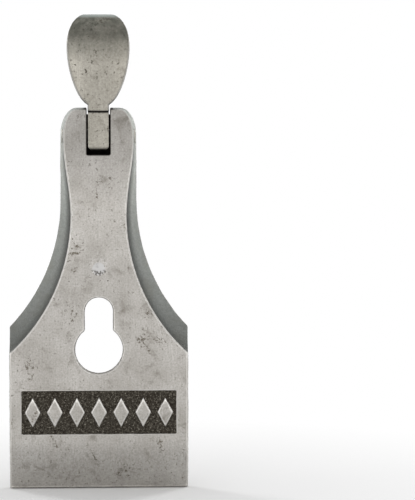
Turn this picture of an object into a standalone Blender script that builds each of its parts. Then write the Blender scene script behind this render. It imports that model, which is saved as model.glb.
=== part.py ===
"""Lever cap of a smoothing plane: a cast cap with a keyhole, a cam lever on a pin and a riveted flat spring.

The origin is on the axis of the screw that holds the cap, in the plane of the ground front face.
+Z runs up to the lever, +X to the right as seen from the front, and +Y back towards the plane iron.
"""

import math

import bmesh
import bpy

MM = 0.001

# Clearances
SEAT_GAP = 0.25 * MM  # flat faces that rest on each other
ROUND_GAP = 0.15 * MM  # pin and rivet in their holes
LEVER_SIDE_GAP = 0.4 * MM  # hub to each wall of its slot
CAM_GAP = 0.3 * MM  # cam to spring, lever down
CUT_MARGIN = 1.0 * MM  # how far a cutter runs past the surface it opens

# Cap casting, outlines seen from the front
CAP_WIDTH = 50.0 * MM
LIP_DROP = 49.8 * MM  # screw axis down to the edge of the lip
EAR_RISE = 57.0 * MM  # screw axis up to the top of the ears
FLANGE_CORNER_DROP = 4.6 * MM  # screw axis down to where the back outline leaves the straight side
FLANGE_FLARE_RADIUS = 51.6 * MM
EAR_FLAT_WIDTH = 12.2 * MM  # straight top edge across both ears
EAR_CORNER_HEIGHT = 7.5 * MM
FACE_CORNER_DROP = 11.6 * MM  # the same corner on the front outline
FACE_FLARE_RADIUS = 52.0 * MM
FACE_TOP_INSET = 0.7 * MM  # front outline inside the back outline, at the ears
FACE_WAIST_INSET = 2.75 * MM  # and at the waist
FACE_TOP_DROP = 0.35 * MM
FACE_SHOULDER_DROP = 8.5 * MM  # top of the ears down to where the front outline starts to round over

# Cap casting, thickness
LIP_THICKNESS = 3.0 * MM
LIP_ROLL = 2.0 * MM  # how far the front face falls back at the lip
LIP_ROLL_HEIGHT = 13.8 * MM
EAR_THICKNESS = 11.6 * MM
COVE_START = 0.10  # the hollow side starts and ends at these shares of the thickness
COVE_END = 0.58
EDGE_ROUND = 0.4 * MM

# Keyhole for the screw
KEY_ROUND_DIAMETER = 13.3 * MM
KEY_SLOT_WIDTH = 7.9 * MM
KEY_DROP = 10.7 * MM  # screw axis down to the centre of the round hole
KEY_LAND = 2.4 * MM  # straight wall behind the front face
KEY_BEVEL = 3.1 * MM  # how much wider it is at the back
KEY_CHAMFER = 0.3 * MM

# Hollow in the back, below the keyhole
RAIL_WIDTH = 3.5 * MM
POCKET_EAR_RADIUS = 3.9 * MM
BOSS_RIDGE = 2.55 * MM  # rim left under the keyhole's bevel
LIP_PAD_HEIGHT = 5.3 * MM
WEB_THICKNESS = 3.6 * MM  # at the top of the hollow
POCKET_DRAFT = 0.38  # sideways per unit of depth
POCKET_FILLET = 1.0 * MM

# Sunk panel on the front, with a row of raised lozenges
PANEL_MARGIN = 3.35 * MM
PANEL_GAP = 4.85 * MM  # below the keyhole
PANEL_HEIGHT = 12.2 * MM
PANEL_DEPTH = 0.7 * MM
LOZENGE_COUNT = 7
LOZENGE_WIDTH = 4.4 * MM
LOZENGE_MARGIN = 2.0 * MM  # above and below each lozenge
LOZENGE_SINK = 0.05 * MM  # its top below the front face

# Flat spring and its rivet
SPRING_WIDTH = 19.3 * MM
SPRING_THICKNESS = 1.3 * MM
SPRING_SIDE_GAP = 0.35 * MM
SPRING_TAIL = 4.4 * MM  # rivet axis down to the lower end
SPRING_TOP_DROP = 1.5 * MM  # top of the ears down to the crown of its end
SPRING_END_RADIUS = 19.0 * MM
SPRING_LIFT = 1.4 * MM  # how far the cam bends the free end back
NECK_RAIL = 0.65 * MM  # wall of the cap beside the spring
CHANNEL_DEPTH = 1.7 * MM
CHANNEL_RELIEF = 0.5 * MM  # deeper above the seat, so that the spring can flex
CHANNEL_RUNOUT = 2.0 * MM  # slope from its floor up to the back, below the spring
RIVET_RISE = 12.0 * MM  # screw axis up to the rivet
RIVET_DIAMETER = 3.8 * MM
RIVET_HEAD_DIAMETER = 7.8 * MM
RIVET_HEAD_HEIGHT = 0.9 * MM
RIVET_HEAD_CHAMFER = 0.3 * MM

# Cam lever and its pin
PIN_DIAMETER = 4.0 * MM
PIN_SETBACK = 5.2 * MM  # pin axis behind the front face
PIN_DROP = 8.0 * MM  # top of the ears down to the pin axis
PIN_END_SINK = 0.35 * MM
PIN_CHAMFER = 0.3 * MM
HUB_WIDTH = 5.8 * MM
HUB_SINK = 0.1 * MM  # hub below the front face
HUB_CORNER_RADIUS = 0.8 * MM
CAM_LIFT = 1.4 * MM  # cam radius at the back less that at the heel
HEEL_GAP = 1.4 * MM  # heel to the floor of the slot
SWEEP_GAP = 0.4 * MM  # hub corner to the undercut it swings through
LEVER_NECK_WIDTH = 6.0 * MM
LEVER_NECK_DEPTH = 4.6 * MM
CREASE_DROP = 1.1 * MM  # top of the ears down to the step between hub and thumb piece
THUMB_PROUD = 0.25 * MM  # thumb piece in front of the cap's face
THUMB_LENGTH = 27.1 * MM  # step up to the tip
THUMB_WIDTH = 17.6 * MM
THUMB_TIP_WIDTH = 7.6 * MM
THUMB_TIP_ROUND = 9.1 * MM  # tip down to the widest place
THUMB_FLARE_START = 2.0 * MM  # step up to where the neck widens
THUMB_FLARE_POWER = 0.6
THUMB_BEND_RADIUS = 10.0 * MM
THUMB_BEND_LENGTH = 8.6 * MM  # stretch below the tip that bends back
THUMB_CROWN = 0.6 * MM  # front face rounded off towards its edges
THUMB_EDGE = 1.9 * MM  # thickness at the edges, either side of the keel on the back
KEEL_TIP_RISE = 1.9 * MM  # keel at the tip, behind its straight part
KEEL_TIP_WIDTH = 7.0 * MM  # the keel narrows to this at the tip, and is as wide as the thumb piece below the bend
KEEL_POWER = 1.5  # 1 is a flat roof either side of the keel, more is hollower
TIP_FACET_HEIGHT = 2.5 * MM  # slanted flat that cuts off the tip
TIP_EDGE = 0.35 * MM  # thickness left at the very top

# Places that follow from the sizes above
HALF_WIDTH = CAP_WIDTH / 2
LIP_Z = -LIP_DROP
NECK_HALF = SPRING_WIDTH / 2 + SPRING_SIDE_GAP + NECK_RAIL
KEY_ROUND_Z = -KEY_DROP
PANEL_TOP_Z = KEY_ROUND_Z - KEY_ROUND_DIAMETER / 2 - PANEL_GAP
PIN_Z = EAR_RISE - PIN_DROP
SPRING_LOW_Z = RIVET_RISE - SPRING_TAIL
SPRING_TOP_Z = EAR_RISE - SPRING_TOP_DROP
CREASE_Z = EAR_RISE - CREASE_DROP
TIP_Z = CREASE_Z + THUMB_LENGTH
BACK_SLOPE = (EAR_THICKNESS - LIP_ROLL - LIP_THICKNESS) / (EAR_RISE - LIP_Z)

# Facet counts
ROLL_ROWS = 8
FLARE_STEPS = 20
NECK_STEPS = 8
CORNER_STEPS = 8
COVE_STEPS = 7
KEY_ROUND_STEPS = 40
KEY_TOP_STEPS = 16
POCKET_EAR_STEPS = 14
POCKET_BOSS_STEPS = 32
ROUND_STEPS = 40
SPRING_COLUMNS = 12
SPRING_ROWS = 16
THUMB_ROWS = 36
THUMB_COLUMNS = 20
CAM_STEPS = 18
SLIVER = 0.05  # least share of a fillet where its wall runs out


def back_y(z):
    """Depth of the slanted back face at a height."""
    return LIP_ROLL + LIP_THICKNESS + BACK_SLOPE * (z - LIP_Z)


def front_y(z):
    """Depth of the front face: flat, then rolled back to the lip on an arc."""
    below = LIP_Z + LIP_ROLL_HEIGHT - z
    if below <= 0:
        return 0.0
    radius = (LIP_ROLL_HEIGHT**2 + LIP_ROLL**2) / (2 * LIP_ROLL)
    return radius - math.sqrt(radius**2 - below**2)


def smooth(t):
    t = min(1.0, max(0.0, t))
    return t * t * (3 - 2 * t)


def steps(count):
    """Even shares from 0 to 1, both ends included."""
    return [i / count for i in range(count + 1)]


def clear_scene():
    for obj in list(bpy.data.objects):
        bpy.data.objects.remove(obj)


def material(name, colour, roughness, metallic):
    made = bpy.data.materials.new(name)
    made.use_nodes = True
    shader = made.node_tree.nodes["Principled BSDF"]
    shader.inputs["Base Color"].default_value = (*colour, 1.0)
    shader.inputs["Roughness"].default_value = roughness
    shader.inputs["Metallic"].default_value = metallic
    return made


def add_object(name, bm, finish=None, location=(0, 0, 0), tilt=0.0, smooth_angle=30.0):
    """Turns a bmesh into a named object, its faces pointing outwards."""
    bmesh.ops.recalc_face_normals(bm, faces=bm.faces)
    mesh = bpy.data.meshes.new(name)
    bm.to_mesh(mesh)
    bm.free()
    obj = bpy.data.objects.new(name, mesh)
    bpy.context.scene.collection.objects.link(obj)
    obj.location = location
    obj.rotation_euler.x = tilt
    mesh.shade_smooth()
    mesh.set_sharp_from_angle(angle=math.radians(smooth_angle))
    if finish:
        mesh.materials.append(finish)
    return obj


def boolean(target, other, operation):
    """Cuts or joins a helper shape, which isn't shown."""
    modifier = target.modifiers.new(other.name, "BOOLEAN")
    modifier.operation = operation
    modifier.solver = "EXACT"
    modifier.object = other
    other.hide_render = True
    other.display_type = "WIRE"


def add_ring(bm, points):
    return [bm.verts.new(p) for p in points]


def bridge(bm, first, second):
    count = len(first)
    for i in range(count):
        j = (i + 1) % count
        bm.faces.new((first[i], first[j], second[j], second[i]))


def loft(rings):
    """A closed solid through rings of points, flat at both ends."""
    bm = bmesh.new()
    made = [add_ring(bm, ring) for ring in rings]
    for first, second in zip(made, made[1:]):
        bridge(bm, first, second)
    bm.faces.new(made[0])
    bm.faces.new(made[-1])
    return bm


def offset(outline, distances):
    """Moves each point of a counter-clockwise outline outwards, square to its two edges."""
    moved = []
    count = len(outline)
    for i, (x, z) in enumerate(outline):
        before, after = outline[i - 1], outline[(i + 1) % count]
        normals = []
        for (ax, az), (bx, bz) in ((before, (x, z)), ((x, z), after)):
            length = math.hypot(bx - ax, bz - az)
            normals.append(((bz - az) / length, (ax - bx) / length))
        (px, pz), (qx, qz) = normals
        share = distances[i] / (1 + px * qx + pz * qz)
        moved.append((x + (px + qx) * share, z + (pz + qz) * share))
    return moved


def mirrored(half):
    """A whole outline, counter-clockwise, from its right half given bottom to top."""
    return half + [(-x, z) for x, z in reversed(half)]


def round_bar(radius, low, high, axis, chamfer=0.0):
    """A cylinder along X or Y with chamfered ends."""
    profile = [(radius - chamfer, low), (radius, low + chamfer), (radius, high - chamfer), (radius - chamfer, high)]
    if chamfer == 0:
        profile = [(radius, low), (radius, high)]
    return loft([circle(r, along, axis) for r, along in profile])


def circle(radius, along, axis):
    ring = []
    for i in range(ROUND_STEPS):
        angle = 2 * math.pi * i / ROUND_STEPS
        a, b = radius * math.cos(angle), radius * math.sin(angle)
        ring.append((along, a, b) if axis == "X" else (a, along, b))
    return ring


def cap_half_outline(corner_z, flare_radius, waist, top_half, shoulder_z, flat_half, top_z):
    """Right half of a cap outline: straight side, flare, neck and rounded ear, bottom to top."""
    roll_top = LIP_Z + LIP_ROLL_HEIGHT
    points = [(HALF_WIDTH, LIP_Z + (roll_top - LIP_Z) * t) for t in steps(ROLL_ROWS)]
    rise = math.sqrt(flare_radius**2 - (waist + flare_radius - HALF_WIDTH) ** 2)
    waist_z = corner_z + rise
    first = math.asin(rise / flare_radius)
    for t in steps(FLARE_STEPS):
        angle = first * (1 - t)
        x = waist + flare_radius - flare_radius * math.cos(angle)
        points.append((x, waist_z - flare_radius * math.sin(angle)))
    for t in steps(NECK_STEPS)[1:]:
        points.append((waist + (top_half - waist) * smooth(t), waist_z + (shoulder_z - waist_z) * t))
    for t in steps(CORNER_STEPS)[1:]:
        angle = math.pi / 2 * t
        x = flat_half + (top_half - flat_half) * math.cos(angle)
        points.append((x, shoulder_z + (top_z - shoulder_z) * math.sin(angle)))
    return points


def cap_outlines():
    """Front and back outlines of the cap, point for point."""
    face = cap_half_outline(
        -FACE_CORNER_DROP,
        FACE_FLARE_RADIUS,
        NECK_HALF - FACE_WAIST_INSET,
        NECK_HALF - FACE_TOP_INSET,
        EAR_RISE - FACE_SHOULDER_DROP,
        EAR_FLAT_WIDTH / 2,
        EAR_RISE - FACE_TOP_DROP,
    )
    flange = cap_half_outline(
        -FLANGE_CORNER_DROP,
        FLANGE_FLARE_RADIUS,
        NECK_HALF,
        NECK_HALF,
        EAR_RISE - EAR_CORNER_HEIGHT,
        EAR_FLAT_WIDTH / 2,
        EAR_RISE,
    )
    return mirrored(face), mirrored(flange)


def cap_blank():
    """The casting before its openings: ground face, hollow sides and slanted back."""
    face, flange = cap_outlines()
    rings = []

    def add(spread, inset, depth):
        outline = [
            (fx + (gx - fx) * spread, fz + (gz - fz) * spread)
            for (fx, fz), (gx, gz) in zip(face, flange)
        ]
        outline = offset(outline, [-inset] * len(outline))
        rings.append([(x, depth(z), z) for x, z in outline])

    def inside(share):
        return lambda z: front_y(z) + (back_y(z) - front_y(z)) * share

    add(0, EDGE_ROUND, front_y)
    add(0, EDGE_ROUND * 0.3, lambda z: front_y(z) + EDGE_ROUND * 0.3)
    for t in steps(COVE_STEPS):
        angle = math.pi / 2 * t
        add(1 - math.cos(angle), 0, inside(COVE_START + (COVE_END - COVE_START) * math.sin(angle)))
    add(1, 0, lambda z: back_y(z) - EDGE_ROUND)
    add(1, EDGE_ROUND, back_y)

    bm = bmesh.new()
    made = [add_ring(bm, ring) for ring in rings]
    for first, second in zip(made, made[1:]):
        bridge(bm, first, second)
    front = made[0]
    for i in range(ROLL_ROWS):
        bm.faces.new((front[i], front[i + 1], front[-i - 2], front[-i - 1]))
    bm.faces.new(front[ROLL_ROWS : len(front) - ROLL_ROWS])
    bm.faces.new(made[-1])
    return bm


def keyhole_outline(growth):
    """Round hole with a narrower slot above it, both wider by growth, counter-clockwise."""
    radius = KEY_ROUND_DIAMETER / 2 + growth
    half = KEY_SLOT_WIDTH / 2 + growth
    first = math.asin(half / radius)
    points = []
    for t in steps(KEY_ROUND_STEPS):
        angle = math.pi / 2 + first + (2 * math.pi - 2 * first) * t
        points.append((radius * math.cos(angle), KEY_ROUND_Z + radius * math.sin(angle)))
    for t in steps(KEY_TOP_STEPS):
        angle = math.pi * t
        points.append((half * math.cos(angle), half * math.sin(angle)))
    return points


def keyhole_cutter():
    bevel = KEY_BEVEL + KEY_BEVEL / (back_y(0) - KEY_LAND) * CUT_MARGIN
    rings = []
    for growth, depth in (
        (KEY_CHAMFER + CUT_MARGIN, lambda z: -CUT_MARGIN),
        (0, lambda z: KEY_CHAMFER),
        (0, lambda z: KEY_LAND),
        (bevel, lambda z: back_y(z) + CUT_MARGIN),
    ):
        rings.append([(x, depth(z), z) for x, z in keyhole_outline(growth)])
    return add_object("keyhole_cutter", loft(rings))


def pocket_outline(low_z):
    """Hollow in the back: two round-topped ears either side of the keyhole's boss, counter-clockwise."""
    outer = HALF_WIDTH - RAIL_WIDTH
    boss_half = outer - 2 * POCKET_EAR_RADIUS
    boss_drop = KEY_ROUND_DIAMETER / 2 + KEY_BEVEL + BOSS_RIDGE
    half = [(outer, low_z)]
    for t in steps(POCKET_EAR_STEPS):
        angle = math.pi * t
        x = outer - POCKET_EAR_RADIUS + POCKET_EAR_RADIUS * math.cos(angle)
        half.append((x, KEY_ROUND_Z + POCKET_EAR_RADIUS * math.sin(angle)))
    for t in steps(POCKET_BOSS_STEPS // 2)[1:-1]:
        angle = math.pi / 2 * t
        half.append((boss_half * math.cos(angle), KEY_ROUND_Z - boss_drop * math.sin(angle)))
    return mirrored(half)


def pocket_cutter():
    pad_z = LIP_Z + LIP_PAD_HEIGHT
    top_z = KEY_ROUND_Z + POCKET_EAR_RADIUS
    fall = (back_y(pad_z) - WEB_THICKNESS) / (top_z - pad_z)

    def floor_y(z):
        return back_y(pad_z) - fall * (z - pad_z)

    outline = pocket_outline(pad_z - CUT_MARGIN)
    rings = []

    def add(rise, extra):
        """One ring of the wall: this share of the fillet above the floor, and this share further in."""
        deep = [back_y(z) - floor_y(z) for _, z in outline]
        fillets = [max(POCKET_FILLET * SLIVER, min(POCKET_FILLET, d / 2)) for d in deep]
        inset = [-POCKET_DRAFT * (d - f * rise) - f * extra for d, f in zip(deep, fillets)]
        moved = offset(outline, inset)
        rings.append([(x, floor_y(z) + f * rise, z) for (x, z), f in zip(moved, fillets)])

    add(0, 1)
    add(0.3, 0.3)
    add(1, 0)
    mouth = offset(outline, [POCKET_DRAFT * CUT_MARGIN] * len(outline))
    rings.append([(x, back_y(z) + CUT_MARGIN, z) for x, z in mouth])
    return add_object("pocket_cutter", loft(rings))


def block(name, half_x, low_z, high_z, near, far):
    """A cutter across the cap between two heights, its near and far faces given as depths by height."""
    rings = []
    for depth in (near, far):
        corners = ((-half_x, low_z), (half_x, low_z), (half_x, high_z), (-half_x, high_z))
        rings.append([(x, depth(z), z) for x, z in corners])
    return add_object(name, loft(rings))


def channel_floor(z):
    return back_y(z) - CHANNEL_DEPTH


def channel_cutters():
    """Seat for the spring, the slope below it, and a deeper channel above it for the part that flexes."""
    half = SPRING_WIDTH / 2 + SPRING_SIDE_GAP

    def open_back(z):
        return back_y(z) + CUT_MARGIN

    low = SPRING_LOW_Z - SPRING_SIDE_GAP
    high = EAR_RISE + CUT_MARGIN
    past = 0.4  # share of the slope that runs on beyond the back
    foot = low - (1 + past) * CHANNEL_RUNOUT
    profile = (
        (back_y(foot) + past * CHANNEL_DEPTH, foot),
        (channel_floor(low), low),
        (channel_floor(high), high),
        (open_back(high), high),
        (open_back(foot), foot),
    )
    seat = add_object("spring_seat_cutter", loft([[(x, y, z) for y, z in profile] for x in (-half, half)]))
    relief = block(
        "spring_channel_cutter",
        half,
        spring_root(),
        high,
        lambda z: channel_floor(z) - CHANNEL_RELIEF,
        open_back,
    )
    return seat, relief


def spring_root():
    """Height where the spring leaves its seat."""
    return RIVET_RISE + RIVET_HEAD_DIAMETER / 2


def slot_cutters():
    """The lever's slot: open at the top, with a round undercut for the corner of the hub."""
    half = HUB_WIDTH / 2 + LEVER_SIDE_GAP
    floor_z = PIN_Z - heel_radius() - HEEL_GAP
    slot = block(
        "lever_slot_cutter",
        half,
        floor_z,
        EAR_RISE + CUT_MARGIN,
        lambda z: -CUT_MARGIN,
        lambda z: back_y(z) + CUT_MARGIN,
    )
    across = PIN_SETBACK - HUB_SINK - HUB_CORNER_RADIUS
    down = heel_radius() - HUB_CORNER_RADIUS
    sweep = math.hypot(across, down) + HUB_CORNER_RADIUS + SWEEP_GAP
    undercut = add_object(
        "hub_sweep_cutter", round_bar(sweep, -half, half, "X"), location=(0, PIN_SETBACK, PIN_Z)
    )
    return slot, undercut


def panel_cutter():
    return block(
        "panel_cutter",
        HALF_WIDTH - PANEL_MARGIN,
        PANEL_TOP_Z - PANEL_HEIGHT,
        PANEL_TOP_Z,
        lambda z: -CUT_MARGIN,
        lambda z: PANEL_DEPTH,
    )


def lozenges():
    """A plain row of raised lozenges that stand on the floor of the panel."""
    bm = bmesh.new()
    width = CAP_WIDTH - 2 * PANEL_MARGIN
    pitch = width / LOZENGE_COUNT
    centre_z = PANEL_TOP_Z - PANEL_HEIGHT / 2
    tall = PANEL_HEIGHT / 2 - LOZENGE_MARGIN
    wide = LOZENGE_WIDTH / 2
    root = PANEL_DEPTH + EDGE_ROUND
    for i in range(LOZENGE_COUNT):
        centre_x = (i + 0.5) * pitch - width / 2
        corners = ((wide, 0), (0, tall), (-wide, 0), (0, -tall))
        rings = []
        for depth in (LOZENGE_SINK, root):
            rings.append(add_ring(bm, [(centre_x + x, depth, centre_z + z) for x, z in corners]))
        bridge(bm, *rings)
        bm.faces.new(rings[0])
        bm.faces.new(rings[1])
    return add_object("panel_relief", bm)


def make_cap(finish):
    cap = add_object("cap_casting", cap_blank(), finish)
    slot, undercut = slot_cutters()
    pin_hole = add_object(
        "pin_hole_cutter",
        round_bar(PIN_DIAMETER / 2 + ROUND_GAP, -HALF_WIDTH, HALF_WIDTH, "X"),
        location=(0, PIN_SETBACK, PIN_Z),
    )
    rivet_hole = rivet_cutter("cap_rivet_hole_cutter")
    for cutter in (
        keyhole_cutter(),
        pocket_cutter(),
        *channel_cutters(),
        slot,
        undercut,
        pin_hole,
        rivet_hole,
        panel_cutter(),
    ):
        boolean(cap, cutter, "DIFFERENCE")
    boolean(cap, lozenges(), "UNION")
    return cap


def spring_bow(z):
    """How far the spring is bent back at a height, as a leaf that is clamped under its rivet."""
    root = spring_root()
    share = max(0.0, (z - root) / (SPRING_TOP_Z - root))
    return SPRING_LIFT * (3 * share**2 - share**3) / 2


def spring_front(z):
    return channel_floor(z) + SEAT_GAP + spring_bow(z)


def spring_middle():
    """Depth of the middle of the spring on the rivet's axis, where it flexes from."""
    return spring_front(RIVET_RISE) + SPRING_THICKNESS / 2


def rivet_tilt():
    """The rivet stands square to the back of the cap."""
    return -math.atan(BACK_SLOPE)


def rivet_cutter(name):
    return add_object(
        name,
        round_bar(RIVET_DIAMETER / 2 + ROUND_GAP, -EAR_THICKNESS, EAR_THICKNESS, "Y"),
        location=(0, spring_middle(), RIVET_RISE),
        tilt=rivet_tilt(),
    )


def make_spring(finish):
    """A flat leaf with a rounded free end, bent back by the cam."""
    bm = bmesh.new()
    flexes_at = spring_middle()
    sheets = []
    for thickness in (0.0, SPRING_THICKNESS):
        sheet = []
        for u in steps(SPRING_COLUMNS):
            x = SPRING_WIDTH * (u - 0.5)
            top = SPRING_TOP_Z - SPRING_END_RADIUS + math.sqrt(SPRING_END_RADIUS**2 - x**2)
            column = []
            for v in steps(SPRING_ROWS):
                z = SPRING_LOW_Z + (top - SPRING_LOW_Z) * v
                y = spring_front(z) + thickness
                column.append(bm.verts.new((x, y - flexes_at, z - RIVET_RISE)))
            sheet.append(column)
        sheets.append(sheet)
        for left, right in zip(sheet, sheet[1:]):
            for k in range(SPRING_ROWS):
                bm.faces.new((left[k], right[k], right[k + 1], left[k + 1]))
    rims = []
    for sheet in sheets:
        bottom = [column[0] for column in sheet]
        right = sheet[-1][1:]
        top = [column[-1] for column in sheet[-2::-1]]
        left = sheet[0][-2:0:-1]
        rims.append(bottom + right + top + left)
    bridge(bm, *rims)
    spring = add_object("flat_spring", bm, finish, location=(0, flexes_at, RIVET_RISE))
    boolean(spring, rivet_cutter("spring_rivet_hole_cutter"), "DIFFERENCE")
    return spring


def make_rivet(finish):
    """Turned about its axis from the flush front end to the head behind the spring."""
    shank = RIVET_DIAMETER / 2
    head = RIVET_HEAD_DIAMETER / 2
    tail = -spring_middle() + shank * BACK_SLOPE + LOZENGE_SINK
    seat = SPRING_THICKNESS / 2 + SEAT_GAP
    back = seat + RIVET_HEAD_HEIGHT
    profile = (
        (shank, tail),
        (shank, seat),
        (head, seat),
        (head, back - RIVET_HEAD_CHAMFER),
        (head - RIVET_HEAD_CHAMFER, back),
    )
    bm = loft([circle(radius, along, "Y") for radius, along in profile])
    return add_object(
        "spring_rivet", bm, finish, location=(0, spring_middle(), RIVET_RISE), tilt=rivet_tilt()
    )


def cam_radius():
    """Pin axis to the back of the cam, which holds the spring bent while the lever is down."""
    return spring_front(PIN_Z) - CAM_GAP - PIN_SETBACK


def heel_radius():
    return cam_radius() - CAM_LIFT


def hub_profile():
    """Side view of the hub and neck about the pin axis: flat front, heel, cam and back of the neck."""
    front = HUB_SINK - PIN_SETBACK
    heel = heel_radius()
    cam = cam_radius()
    neck_back = LEVER_NECK_DEPTH - THUMB_PROUD - PIN_SETBACK
    neck_top = CREASE_Z + THUMB_FLARE_START - PIN_Z
    points = [(front, neck_top)]
    for t in steps(4):
        angle = math.pi + math.pi / 2 * t
        y = front + HUB_CORNER_RADIUS * (1 + math.cos(angle))
        points.append((y, HUB_CORNER_RADIUS * (1 + math.sin(angle)) - heel))
    for t in steps(CAM_STEPS):
        angle = -math.pi / 2 * (1 - t)
        radius = heel + (cam - heel) * t
        points.append((radius * math.cos(angle), radius * math.sin(angle)))
    over = math.radians(30)
    for t in steps(CAM_STEPS // 3)[1:]:
        points.append((cam * math.cos(over * t), cam * math.sin(over * t)))
    points.append((neck_back, neck_top))
    return points


def thumb_half_width(z):
    """Half of the thumb piece's width: neck, egg-shaped flare and flattened round tip."""
    neck = LEVER_NECK_WIDTH / 2
    widest = THUMB_WIDTH / 2
    flare_z = CREASE_Z + THUMB_FLARE_START
    widest_z = TIP_Z - THUMB_TIP_ROUND
    if z <= flare_z:
        return neck
    if z < widest_z:
        share = (widest_z - z) / (widest_z - flare_z)
        return neck + (widest - neck) * math.cos(math.pi / 2 * share) ** THUMB_FLARE_POWER
    share = min(1.0, (z - widest_z) / THUMB_TIP_ROUND)
    tip = THUMB_TIP_WIDTH / 2
    return tip + (widest - tip) * math.sqrt(1 - share**2)


def thumb_front(z):
    """Depth of the front contour, which bends back towards the tip."""
    above = max(0.0, z - (TIP_Z - THUMB_BEND_LENGTH))
    return -THUMB_PROUD + THUMB_BEND_RADIUS - math.sqrt(THUMB_BEND_RADIUS**2 - above**2)


def thumb_keel(z):
    """Depth of the back along the keel, which bends back on a tighter arc than the front."""
    neck_back = LEVER_NECK_DEPTH - THUMB_PROUD
    start = TIP_Z - THUMB_BEND_LENGTH
    steepest = THUMB_BEND_LENGTH / THUMB_BEND_RADIUS
    share = (z - start) / (THUMB_BEND_LENGTH - TIP_FACET_HEIGHT)
    lean = steepest * min(1.0, max(0.0, share))
    return neck_back + KEEL_TIP_RISE * (1 - math.sqrt(1 - lean**2)) / (1 - math.sqrt(1 - steepest**2))


def tip_facet(z):
    """Depth of the slanted flat that cuts off the tip, which leaves a three-cornered end on the keel."""
    top = thumb_front(TIP_Z) + TIP_EDGE
    low = thumb_keel(TIP_Z)
    return top + (low - top) * max(0.0, TIP_Z - z) / TIP_FACET_HEIGHT


def thumb_ring(z):
    """One level section of the thumb piece: crowned front, rounded edges and a keel down the back."""
    half = thumb_half_width(z)
    front, keel = thumb_front(z), thumb_keel(z)
    flare = smooth((z - CREASE_Z - THUMB_FLARE_START) / THUMB_TIP_ROUND)
    below_tip = smooth((TIP_Z - z) / THUMB_BEND_LENGTH)
    crown = THUMB_CROWN * flare
    rim = TIP_EDGE + (THUMB_EDGE - THUMB_CROWN - TIP_EDGE) * below_tip
    edge = half - EDGE_ROUND
    keel_half = KEEL_TIP_WIDTH / 2 + (half - KEEL_TIP_WIDTH / 2) * below_tip

    def front_rise(u):
        return min(front + crown * u**4, tip_facet(z) - TIP_EDGE)

    def back_rise(u):
        share = max(0.0, 1 - abs(edge * u) / keel_half)
        ridge = front_rise(u) + rim + (keel - front - rim) * share**KEEL_POWER
        return min(keel + (ridge - keel) * flare, tip_facet(z))

    shares = [2 * t - 1 for t in steps(THUMB_COLUMNS)]
    front_row = [(edge * u, front_rise(u), z) for u in shares]
    back_row = [(edge * u, back_rise(u), z) for u in reversed(shares)]
    middle = (front_row[0][1] + back_row[0][1]) / 2
    return front_row + [(half, middle, z)] + back_row + [(-half, middle, z)]


def make_lever(finish):
    """Hub, cam and thumb piece in one, turning on the pin."""
    hub = loft([[(x, y, z) for y, z in hub_profile()] for x in (-HUB_WIDTH / 2, HUB_WIDTH / 2)])
    lever = add_object("cam_lever", hub, finish, location=(0, PIN_SETBACK, PIN_Z))
    levels = [CREASE_Z + THUMB_LENGTH * (1 - math.cos(math.pi * t)) / 2 for t in steps(THUMB_ROWS)]
    thumb = add_object("thumb_piece", loft([thumb_ring(z) for z in levels]))
    bore = add_object(
        "lever_bore_cutter",
        round_bar(PIN_DIAMETER / 2 + ROUND_GAP, -CAP_WIDTH, CAP_WIDTH, "X"),
        location=(0, PIN_SETBACK, PIN_Z),
    )
    boolean(lever, thumb, "UNION")
    boolean(lever, bore, "DIFFERENCE")
    return lever


def make_pin(finish):
    end = NECK_HALF - PIN_END_SINK
    bm = round_bar(PIN_DIAMETER / 2, -end, end, "X", PIN_CHAMFER)
    return add_object("lever_pin", bm, finish, location=(0, PIN_SETBACK, PIN_Z))


def main():
    clear_scene()
    iron = material("ground cast iron", (0.45, 0.44, 0.42), 0.4, 1.0)
    lever_iron = material("malleable iron", (0.40, 0.39, 0.37), 0.4, 1.0)
    spring_steel = material("rust-flecked spring steel", (0.42, 0.36, 0.29), 0.5, 1.0)
    pin_steel = material("pin steel", (0.38, 0.37, 0.36), 0.4, 1.0)
    make_cap(iron)
    make_lever(lever_iron)
    make_pin(pin_steel)
    make_spring(spring_steel)
    make_rivet(spring_steel)


main()
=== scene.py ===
import bpy
import math
import numpy as np
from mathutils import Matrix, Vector, kdtree


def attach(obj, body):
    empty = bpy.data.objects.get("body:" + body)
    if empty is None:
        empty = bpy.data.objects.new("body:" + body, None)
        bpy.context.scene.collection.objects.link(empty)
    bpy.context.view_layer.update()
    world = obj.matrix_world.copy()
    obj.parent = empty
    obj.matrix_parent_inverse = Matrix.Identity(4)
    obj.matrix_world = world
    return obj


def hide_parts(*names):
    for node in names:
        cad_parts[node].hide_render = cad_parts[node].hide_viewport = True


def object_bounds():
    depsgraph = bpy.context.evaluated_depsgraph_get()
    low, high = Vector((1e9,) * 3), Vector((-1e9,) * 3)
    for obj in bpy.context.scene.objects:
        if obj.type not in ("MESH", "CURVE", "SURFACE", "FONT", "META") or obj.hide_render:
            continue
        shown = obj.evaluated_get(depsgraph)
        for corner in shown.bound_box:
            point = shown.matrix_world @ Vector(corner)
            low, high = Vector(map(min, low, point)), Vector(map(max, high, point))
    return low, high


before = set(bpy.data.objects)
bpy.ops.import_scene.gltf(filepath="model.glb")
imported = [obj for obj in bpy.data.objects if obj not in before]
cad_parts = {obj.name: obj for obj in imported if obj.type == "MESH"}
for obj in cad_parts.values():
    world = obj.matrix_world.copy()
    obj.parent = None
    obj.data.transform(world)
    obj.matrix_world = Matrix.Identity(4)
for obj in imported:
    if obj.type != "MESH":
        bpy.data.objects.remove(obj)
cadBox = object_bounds()
mm = 0.001
scene = bpy.context.scene

# shared by the cap, the spring and the rivet
rivetZ = 12.0 * mm
rivetHead = 3.9 * mm
backSlope = 6.6 / 106.8


# small helpers
def deselectAll():
    bpy.ops.object.select_all(action="DESELECT")


def makeActive(piece):
    deselectAll()
    piece.select_set(True)
    bpy.context.view_layer.objects.active = piece


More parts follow.
